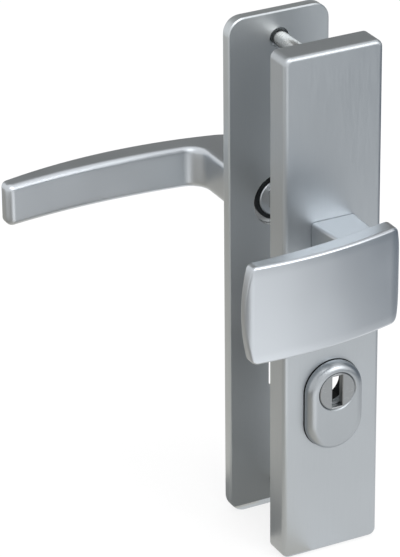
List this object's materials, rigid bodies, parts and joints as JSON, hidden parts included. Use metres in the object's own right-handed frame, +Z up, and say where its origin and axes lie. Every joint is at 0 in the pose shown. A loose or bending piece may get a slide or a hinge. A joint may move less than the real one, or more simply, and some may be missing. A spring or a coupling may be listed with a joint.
{
  "type": "door escutcheon",
  "caption": "Security door set: outside shield with a fixed pull knob and a cylinder cover with a key disc, joined by threaded posts to a room-side plate with a sprung lever.",
  "frame": {"origin": "the lever's axis where it meets the plane of the shield's door side", "axes": "+Z up along the plates, +Y into the door from outside to the room, +X right seen from outside"},
  "size_m": [0.1355, 0.1644, 0.246],
  "materials": {
    "satin_aluminium": "satin anodised",
    "cast_aluminium": "satin anodised",
    "disc_steel": "brushed",
    "hardened_steel": "hardened, oiled",
    "zinc_steel": "bright zinc plated",
    "black_steel": "phosphated",
    "spring_steel": "drawn",
    "black_plastic": "moulded"
  },
  "bodies": {
    "plates": {"outer_plate": "satin_aluminium", "inner_plate": "satin_aluminium", "pull_knob": "cast_aluminium", "armour_plate": "hardened_steel", "knob_screws": "zinc_steel", "cover_springs": "spring_steel", "cover_retainer": "zinc_steel", "retainer_screws": "zinc_steel", "post_upper": "zinc_steel", "post_lower": "zinc_steel", "fixing_screw_upper": "zinc_steel", "fixing_screw_lower": "zinc_steel", "lever_bush": "black_plastic", "return_spring": "spring_steel"},
    "lever": {"lever_handle": "cast_aluminium", "lever_washer": "zinc_steel", "lever_snap_ring": "black_steel", "spindle": "zinc_steel", "lever_grub_screw": "black_steel"},
    "cover": {"cylinder_cover": "cast_aluminium"},
    "disc": {"key_disc": "disc_steel", "disc_retaining_ring": "black_steel"}
  },
  "joints": [
    {"name": "lever_turn", "type": "hinge", "parent": "plates", "child": "lever", "pos_m": [0, 0, 0], "axis": [0, -1, 0], "range_deg": [0, 45], "stiffness_Nm_per_rad": 0.8, "springref_deg": -34.38, "deforming": ["return_spring"]},
    {"name": "cover_slide", "type": "slide", "parent": "plates", "child": "cover", "axis": [0, 1, 0], "range_m": [0, 0.0024], "stiffness_N_per_m": 1500, "springref_m": -0.003, "deforming": ["cover_springs"]},
    {"name": "disc_turn", "type": "hinge", "parent": "cover", "child": "disc", "pos_m": [0, 0, -0.072], "axis": [0, -1, 0], "continuous": true}
  ]
}
